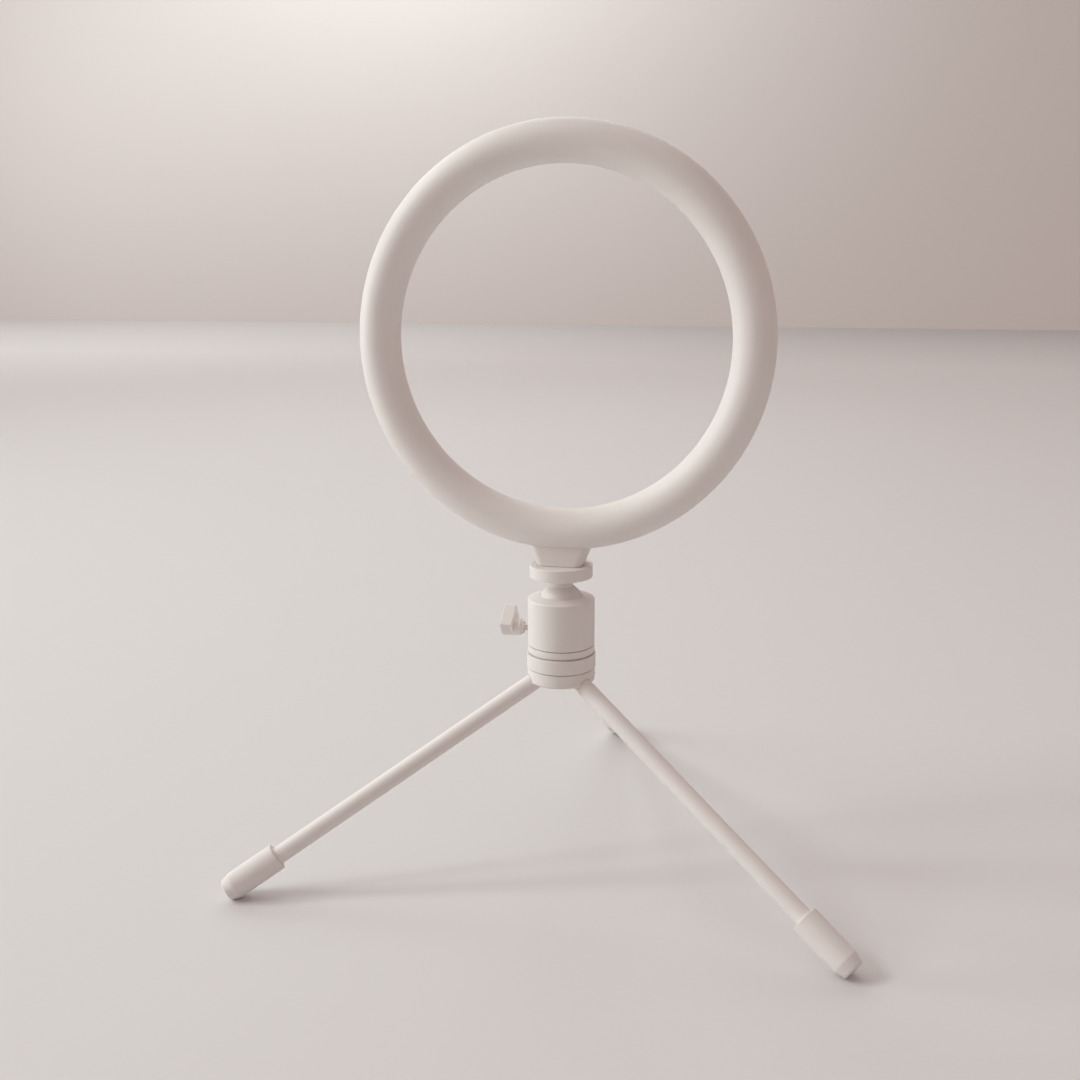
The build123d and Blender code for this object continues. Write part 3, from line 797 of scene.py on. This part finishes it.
def socket_body():
    """The cylindrical socket: a rounded shoulder, a shallow cone up to the mouth, and a round seat inside."""
    low, high = heights("ball_socket")
    radius, ball = radius_of("ball_socket"), radius_of("ball")
    seat = ball + SEAT_CLEARANCE
    bowl = arc((0.0, heights("ball")[0] + ball), seat, math.asin(MOUTH_RADIUS / seat), math.pi / 2, 24)
    corners = [(SOCKET_BORE_RADIUS, low, 0), (radius, low, 0.3), (radius, high - SHOULDER_DROP, 0.9),
               (MOUTH_LIP_RADIUS, high, 0.1), *((reach, level, 0) for reach, level in bowl),
               (seat, low + 4, 0), (SOCKET_BORE_RADIUS, low + 4, 0)]
    turned_piece("socket_body", corners, "ball_socket", finish(powder_coat), "head",
                 closed=True)
    low, high = heights("socket_base")
    radius, shelf = radius_of("socket_base"), low + BASE_SHELF_HEIGHT
    outer, inner, depth = BASE_GROOVE
    corners = [(0, low, 0), (radius, low, 0.3), (radius, shelf, 0.3), (outer, shelf, 0),
               (outer, shelf + depth, 0), (inner, shelf + depth, 0), (inner, high, 0.2), (0, high, 0)]
    turned_piece("socket_foot", corners, "socket_base", finish(powder_coat), "head")


class RINGLIGHT_OT_ball_head(bpy.types.Operator):
    """Builds the mounting plate, the ball and its socket"""

    bl_idname = "ring_light.ball_head"
    bl_label = "Ball head"

    def execute(self, context):
        mounting_plate()
        ball_and_stem()
        socket_body()
        refinish("mounting_stud", finish(plated_steel))
        refinish("pressure_cup", finish(natural_nylon))
        refinish("clamp_wedge", finish(natural_nylon))
        refinish("pan_screw", finish(plated_steel))
        return {"FINISHED"}


# ---------------------------------------------------------------- clamp knob


def knob_axis():
    """A point on the clamp screw's axis, level with the stand's axis."""
    place = middle("clamp_screw")
    return np.array([STAND_AXIS[0], place[1], place[2]])


def side_turned(name, corners, node, material):
    """A turned piece about the clamp screw, its corners (radius, distance out from the stand's axis)."""
    scaled = [(radius * MM, out * MM, rounding * MM) for radius, out, rounding in corners]
    profile, mask = rounded(scaled)
    piece = lathe(name, profile, mask, knob_axis(), np.array([-1.0, 0.0, 0.0]), around=96)
    return fit_out(piece, material, node, "clamp_knob")


def soft_block(low, high, rounding, steps=9):
    """A block with rounded edges and corners.

    Each face is a grid whose points lie on the inner block, pushed out by the rounding along the
    direction from the nearest point of the inner block, so that edges are quarter cylinders and
    corners are eighths of a sphere.
    """
    low, high = np.asarray(low, float), np.asarray(high, float)
    centre, half = (low + high) / 2, (high - low) / 2
    inner = half - rounding
    turn = np.tan(np.linspace(0, np.pi / 4, steps))
    points, quads, edge, base = [], [], [], 0
    for axis in range(3):
        others = [index for index in range(3) if index != axis]
        lines = []
        for other in others:
            rim = inner[other] + rounding * turn
            lines.append(np.concatenate([-rim[::-1], [-inner[other] * 0.9, 0, inner[other] * 0.9], rim]))
        first, second = np.meshgrid(*lines, indexing="ij")
        for side in (-1, 1):
            raw = np.zeros((*first.shape, 3))
            raw[..., others[0]], raw[..., others[1]] = first, second
            raw[..., axis] = side * half[axis]
            core = np.clip(raw, -inner, inner)
            out = raw - core
            distance = np.linalg.norm(out, axis=-1, keepdims=True)
            surface = core + rounding * out / distance
            faces = grid_faces(*first.shape)
            flip = (side > 0) == (axis == 1)
            quads.append((faces[:, ::-1] if flip else faces) + base)
            points.append(surface.reshape(-1, 3) + centre)
            spread = (np.abs(out) > 1e-9).sum(axis=-1) - 1
            edge.append(np.clip(spread, 0, 1).reshape(-1) * 1.0)
            base += first.size
    return np.concatenate(points), np.concatenate(quads), np.concatenate(edge)


WING_LOW = (-30.0 * MM, -4.0 * MM, -2.4 * MM)
WING_HIGH = (-23.8 * MM, 9.0 * MM, 6.1 * MM)
WING_ROUNDING = 0.5 * MM
WING_TURN = math.radians(35.0)


def wing():
    """The knob's wing: a soft block turned about the clamp screw."""
    points, quads, edge = soft_block(WING_LOW, WING_HIGH, WING_ROUNDING)
    cosine, sine = math.cos(WING_TURN), math.sin(WING_TURN)
    turn = np.array([[1, 0, 0], [0, cosine, -sine], [0, sine, cosine]])
    points = points @ turn.T + knob_axis()
    piece = make_mesh("wing", points, quads, (), edge)
    work = bmesh.new()
    work.from_mesh(piece.data)
    bmesh.ops.remove_doubles(work, verts=work.verts, dist=0.001 * MM)
    bmesh.ops.recalc_face_normals(work, faces=work.faces)
    work.to_mesh(piece.data)
    work.free()
    return fit_out(piece, finish(moulded_plastic), "wing_knob", "clamp_knob")


class RINGLIGHT_OT_clamp_knob(bpy.types.Operator):
    """Builds the wing knob, its collar and its screw"""

    bl_idname = "ring_light.clamp_knob"
    bl_label = "Clamp knob"

    def execute(self, context):
        wing()
        collar = [(0, 18.9, 0), (3.2, 18.9, 0.35), (3.2, 20.3, 0.15), (4.2, 20.3, 0.4), (4.2, 23.9, 0.1),
                  (0, 23.9, 0)]
        side_turned("knob_collar_finished", collar, "knob_collar", finish(moulded_plastic))
        shaft = [(0, 6.5, 0), (0.7, 6.5, 0), (1.5, 7.4, 0.1), (1.5, 24.2, 0), (0, 24.2, 0)]
        side_turned("clamp_shaft", shaft, "clamp_screw", finish(powder_coat))
        return {"FINISHED"}


# ---------------------------------------------------------------- stand


class RINGLIGHT_OT_base(bpy.types.Operator):
    """Builds the collar and hub that the head turns on"""

    bl_idname = "ring_light.base"
    bl_label = "Base"

    def execute(self, context):
        low, high = heights("base_collar")
        radius = radius_of("base_collar")
        corners = [(0, low, 0), (radius, low, 0.3), (radius, high, 0.3), (0, high, 0)]
        turned_piece("collar", corners, "base_collar", finish(powder_coat), "stand")
        hub = merged_copy("tripod_hub", "hub")
        fit_out(hub, finish(powder_coat), "tripod_hub", "stand")
        refinish("pan_washer", finish(natural_nylon))
        refinish("hub_screws", finish(plated_steel))
        for side in SIDES:
            refinish(f"hinge_pin_{side}", finish(plated_steel))
        return {"FINISHED"}


ROD_BORE_RADIUS = 3.3 * MM
ROD_START = 5 * MM
ROD_END_GAP = 2.5 * MM
FOOT_SOCKET_GAP = 2.4 * MM
FOOT_FIT = 0.02 * MM


def leg_line(side):
    """Hinge pin and direction of an open leg, from its joint."""
    hinge = HINGES[f"leg_fold_{side}"]
    outward = np.cross(np.array(hinge["axis"], float), UP)
    drop = sizes().leg_drop
    return np.array(hinge["pos_m"], float), outward * math.cos(drop) - UP * math.sin(drop)


def rod(side):
    """A leg's tube, from inside the hub to inside its foot."""
    pin, direction = leg_line(side)
    radius, end = sizes().rod_radius, sizes().leg_length - ROD_END_GAP
    corners = [(ROD_BORE_RADIUS, ROD_START, 0), (radius, ROD_START, 0.3 * MM), (radius, end, 0.3 * MM),
               (ROD_BORE_RADIUS, end, 0)]
    profile, mask = rounded(corners, closed=True)
    piece = lathe(f"rod_{side}", profile, mask, pin, direction, closed=True, around=72)
    return fit_out(piece, finish(rod_paint), f"leg_rod_{side}", f"leg_{side}")


def foot(side):
    """A rubber foot: a long cap with a tapered tip, pressed flat where it meets the floor."""
    pin, direction = leg_line(side)
    radius, rounding, length = sizes().foot_radius, sizes().foot_rounding, sizes().leg_length
    rim, end = length + rounding - sizes().foot_length, length + rounding
    bore, inner_end = sizes().rod_radius + FOOT_FIT, length - FOOT_SOCKET_GAP
    corners = [(0, inner_end, 0), (bore, inner_end, 0), (bore, rim, 0.15 * MM),
               (radius, rim, 0.35 * MM), (radius, end - sizes().foot_taper, 1.5 * MM),
               (sizes().foot_end_radius, end, rounding), (0, end, 0)]
    profile, mask = rounded(corners, steps=14)
    piece = lathe(f"foot_{side}", profile, mask, pin, direction, around=144)
    flatten_to_floor(piece)
    return fit_out(piece, finish(soft_rubber), f"foot_cap_{side}", f"leg_{side}")


def flatten_to_floor(piece):
    """Lifts what would lie below the floor up to it, which leaves the foot's small flat."""
    place = np.zeros(len(piece.data.vertices) * 3)
    piece.data.vertices.foreach_get("co", place)
    place = place.reshape(-1, 3)
    place[:, 2] = np.maximum(place[:, 2], 0.0)
    piece.data.vertices.foreach_set("co", place.ravel())
    piece.data.update()


class RINGLIGHT_OT_legs(bpy.types.Operator):
    """Builds the three legs with their rubber feet"""

    bl_idname = "ring_light.legs"
    bl_label = "Legs"

    def execute(self, context):
        for side in SIDES:
            rod(side)
            foot(side)
            knuckle = merged_copy(f"leg_knuckle_{side}", f"knuckle_{side}")
            fit_out(knuckle, finish(powder_coat), f"leg_knuckle_{side}", f"leg_{side}")
        return {"FINISHED"}


# ---------------------------------------------------------------- stage

CAMERA_OFFSET = (0.1243, -0.5517, 0.2937)
CAMERA_TURN = 13.742
CAMERA_PITCH = 12.839
CAMERA_ROLL = -0.298
CAMERA_LENS = 39.66
STAGE_TURN = -5.36
STAGE_HALF_WIDTH = 14.0
SHEET_LINES = 9
FLOOR_NEAR, FLOOR_FAR = -8.0, 5.61
# painted shade on the floor: from PAINTED_SHADE_START its colour darkens to FAR_SHADE at the far edge
PAINTED_SHADE_START, FAR_SHADE = 3.2, 0.64
WALL_DISTANCE = 8.6
WALL_LOW, WALL_HIGH = -1.5, 7.0
DAYLIGHT = (0.92, 1.0, 0.985)
WALL_LIGHT_COLOUR = (0.96, 1.0, 0.98)
WARM_LIGHT_COLOUR = (1.0, 0.55, 0.4)
WARM_FILL = (1.0, 0.8, 0.75)
FILL_STRENGTH = 0.465
SIDE_DISTANCE, SIDE_SIZE, SIDE_SPREAD = 3.5, 0.64, 100.0
TOP_LIGHT_HEIGHT = 2.4
WALL_LIGHT_AHEAD, WALL_LIGHT_SIZE, WALL_AIM_HEIGHT = 5.8, 3.0, 1.5
AIM_HEIGHT = 0.12
BACK_LIGHT_AHEAD, BACK_LIGHT_HEIGHT, BACK_LIGHT_SIZE = 1.8, 1.8, 1.2
FLOOR_LIGHT_AHEAD, FLOOR_LIGHT_HEIGHT = 3.3, 3.0
WIDE_SIZE = 1.5


def stage_sheet(name, first, second, colour, painted_shade_from=None):
    """A flat sheet of the stage between two lines that run across it.

    A point is low line + share * (high line - low line) + reach * across, on an even grid.
    """
    turn = math.radians(STAGE_TURN)
    back = np.array([-math.sin(turn), math.cos(turn), 0.0])
    along = np.array([math.cos(turn), math.sin(turn), 0.0])
    low, high = (distance * back + height * UP for distance, height in (first, second))
    share = np.linspace(0, 1, SHEET_LINES)[:, None, None]
    reach = np.linspace(-STAGE_HALF_WIDTH, STAGE_HALF_WIDTH, SHEET_LINES)[None, :, None]
    grid = STAND_AXIS + low + share * (high - low) + reach * along
    mesh = bpy.data.meshes.new(name)
    mesh.from_pydata(grid.reshape(-1, 3).tolist(), [], grid_faces(*grid.shape[:2]).tolist())
    mesh.materials.append(seamless_paper(f"{name}_paper", colour, painted_shade_from))
    put_in_scene(name, mesh)


def soft_light(name, place, target, size, power, colour):
    """A square area light that faces a target. Returns its settings."""
    data = bpy.data.lights.new(name, "AREA")
    data.shape = "SQUARE"
    data.size = size
    data.energy = power
    data.color = colour
    made = put_in_scene(name, data)
    made.location = place
    made.rotation_euler = (target - place).to_track_quat("-Z", "Y").to_euler()
    return data


def camera():
    """The camera, by its place from the stand's axis, its turn, pitch and roll."""
    data = bpy.data.cameras.new("camera")
    data.sensor_width = 36.0
    data.lens = CAMERA_LENS
    data.clip_end = 100.0
    made = put_in_scene("camera", data)
    turn = Matrix.Rotation(math.radians(CAMERA_TURN), 4, "Z")
    pitch = Matrix.Rotation(math.radians(90.0 - CAMERA_PITCH), 4, "X")
    roll = Matrix.Rotation(math.radians(CAMERA_ROLL), 4, "Z")
    place = Matrix.Translation(Vector(STAND_AXIS) + Vector(CAMERA_OFFSET))
    made.matrix_world = place @ turn @ pitch @ roll
    bpy.context.scene.camera = made


def from_stand(turn, sideways, ahead, height):
    """A place given from the stand's axis: sideways, ahead along a heading turned from +Y, and height."""
    turn = math.radians(turn)
    place = Vector((math.cos(turn), math.sin(turn), 0.0)) * sideways
    place += Vector((-math.sin(turn), math.cos(turn), 0.0)) * ahead
    return Vector(STAND_AXIS) + place + Vector((0.0, 0.0, height))


def side_light(name, turn, rise, power):
    """A soft light on the camera's left, by its turn to the back and its rise, aimed at the lamp."""
    turn, rise = math.radians(turn), math.radians(rise)
    reach = SIDE_DISTANCE * math.cos(rise)
    height = SIDE_DISTANCE * math.sin(rise)
    place = from_stand(CAMERA_TURN, -reach * math.cos(turn), reach * math.sin(turn), height)
    aim = from_stand(CAMERA_TURN, 0.0, 0.0, AIM_HEIGHT)
    soft_light(name, place, aim, SIDE_SIZE, power, DAYLIGHT).spread = math.radians(SIDE_SPREAD)


def floor_light(name, sideways, power):
    """A wide light that hangs over the floor behind the lamp and faces down."""
    place = from_stand(CAMERA_TURN, sideways, FLOOR_LIGHT_AHEAD, FLOOR_LIGHT_HEIGHT)
    soft_light(name, place, place - Vector((0.0, 0.0, 1.0)), WIDE_SIZE, power, DAYLIGHT)


def wall_light(name, sideways, height, power, colour):
    """A very wide light that washes the back wall from behind the floor's far edge."""
    place = from_stand(STAGE_TURN, sideways, WALL_LIGHT_AHEAD, height)
    aim = from_stand(STAGE_TURN, sideways, WALL_DISTANCE, WALL_AIM_HEIGHT)
    soft_light(name, place, aim, WALL_LIGHT_SIZE, power, colour)


def room_glow(context):
    """An even, warm fill from every side."""
    world = bpy.data.worlds.new("room")
    world.use_nodes = True
    glow = world.node_tree.nodes["Background"]
    glow.inputs["Color"].default_value = (*WARM_FILL, 1.0)
    glow.inputs["Strength"].default_value = FILL_STRENGTH
    context.scene.world = world


class RINGLIGHT_OT_stage(bpy.types.Operator):
    """Sets up the floor, the back wall, soft studio lights and the camera"""

    bl_idname = "ring_light.stage"
    bl_label = "Stage"

    def execute(self, context):
        stage_sheet("stage_floor", (FLOOR_NEAR, 0.0), (FLOOR_FAR, 0.0), colours().floor, PAINTED_SHADE_START)
        stage_sheet("stage_wall", (WALL_DISTANCE, WALL_LOW), (WALL_DISTANCE, WALL_HIGH), colours().wall)
        side_light("key_low", turn=8.0, rise=8.0, power=8.0)
        side_light("key_high", turn=8.0, rise=40.0, power=7.1)
        side_light("key_front_middle", turn=-10.0, rise=27.0, power=4.7)
        side_light("key_front_high", turn=-10.0, rise=40.0, power=3.0)
        side_light("key_back_high", turn=26.0, rise=55.0, power=1.6)
        aim = from_stand(CAMERA_TURN, 0.0, 0.0, AIM_HEIGHT)
        over = from_stand(CAMERA_TURN, 0.0, 0.0, TOP_LIGHT_HEIGHT)
        soft_light("top", over, aim, WIDE_SIZE, power=3.4, colour=DAYLIGHT)
        behind = from_stand(CAMERA_TURN, 0.0, BACK_LIGHT_AHEAD, BACK_LIGHT_HEIGHT)
        soft_light("back", behind, aim, BACK_LIGHT_SIZE, power=5.1, colour=DAYLIGHT)
        floor_light("floor_left", sideways=-2.5, power=36.0)
        floor_light("floor_middle", sideways=0.0, power=2.0)
        floor_light("floor_right", sideways=2.5, power=6.0)
        wall_light("wall_wash", sideways=-4.0, height=5.0, power=194.0, colour=WALL_LIGHT_COLOUR)
        wall_light("wall_left", sideways=-8.0, height=2.0, power=38.0, colour=WALL_LIGHT_COLOUR)
        wall_light("wall_right", sideways=7.0, height=2.0, power=55.0, colour=WARM_LIGHT_COLOUR)
        room_glow(context)
        context.scene.view_settings.view_transform = "Standard"
        camera()
        return {"FINISHED"}


# ---------------------------------------------------------------- panel and registration


OPERATORS = (RINGLIGHT_OT_lamp, RINGLIGHT_OT_ball_head, RINGLIGHT_OT_clamp_knob, RINGLIGHT_OT_base,
             RINGLIGHT_OT_legs, RINGLIGHT_OT_stage)


class RINGLIGHT_PT_panel(bpy.types.Panel):
    """Lists the steps that build the ring light"""

    bl_label = "Ring Light"
    bl_idname = "RINGLIGHT_PT_panel"
    bl_space_type = "VIEW_3D"
    bl_region_type = "UI"
    bl_category = "Ring Light"

    def draw(self, context):
        for step in OPERATORS:
            self.layout.operator(step.bl_idname)
        for group in (context.scene.ring_light_sizes, context.scene.ring_light_colours):
            box = self.layout.box()
            for name in group.bl_rna.properties.keys():
                if name not in ("rna_type", "name"):
                    box.prop(group, name)


CLASSES = (RingLightSizes, RingLightColours, *OPERATORS, RINGLIGHT_PT_panel)


def register():
    """Registers the classes and gives the scene its sizes and colours."""
    for entry in CLASSES:
        bpy.utils.register_class(entry)
    bpy.types.Scene.ring_light_sizes = bpy.props.PointerProperty(type=RingLightSizes)
    bpy.types.Scene.ring_light_colours = bpy.props.PointerProperty(type=RingLightColours)


def unregister():
    """Undoes register."""
    del bpy.types.Scene.ring_light_colours
    del bpy.types.Scene.ring_light_sizes
    for entry in reversed(CLASSES):
        bpy.utils.unregister_class(entry)


def main():
    """Builds every piece and the stage."""
    register()
    bpy.ops.ring_light.lamp()
    bpy.ops.ring_light.ball_head()
    bpy.ops.ring_light.clamp_knob()
    bpy.ops.ring_light.base()
    bpy.ops.ring_light.legs()
    bpy.ops.ring_light.stage()


if __name__ == "__main__":
    main()
